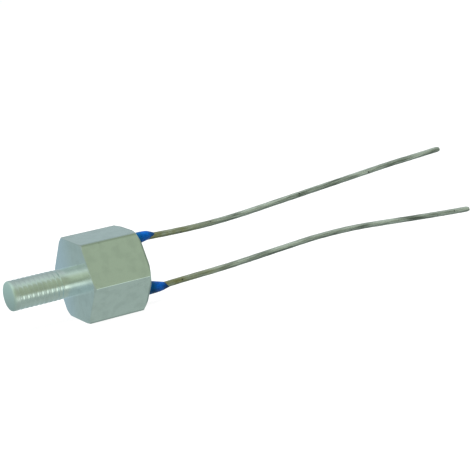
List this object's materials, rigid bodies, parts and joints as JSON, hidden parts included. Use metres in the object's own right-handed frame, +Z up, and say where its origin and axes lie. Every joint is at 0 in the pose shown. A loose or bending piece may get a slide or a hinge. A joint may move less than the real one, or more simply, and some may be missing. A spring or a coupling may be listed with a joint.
{
  "type": "stud-mount ntc thermistor",
  "caption": "Temperature sensor in a turned hexagonal metal case with a threaded stud, potted at the back, with bare wire leads that leave through blue lacquer.",
  "frame": {"origin": "centre of the seating face, where the stud joins the hexagon", "axes": "+X along the case axis from the stud to the leads, +Z up with a flat of the hexagon facing down, +Y to the side of the lead with the shorter wire"},
  "size_m": [0.0562, 0.0092, 0.0089],
  "materials": {
    "case_metal": "machined satin",
    "sintered_ceramic": "matt",
    "silver_print": "printed and fired",
    "solder": "satin",
    "tinned_wire": "drawn and tinned",
    "blue_lacquer": "glossy dip coat",
    "potting_resin": "cast"
  },
  "bodies": {
    "root": {"hex_case": "case_metal", "ntc_disc": "sintered_ceramic", "electrode_a": "silver_print", "electrode_b": "silver_print", "solder_a": "solder", "solder_b": "solder", "lead_a": "tinned_wire", "lead_b": "tinned_wire", "lacquer_coat": "blue_lacquer", "potting": "potting_resin"}
  },
  "joints": []
}
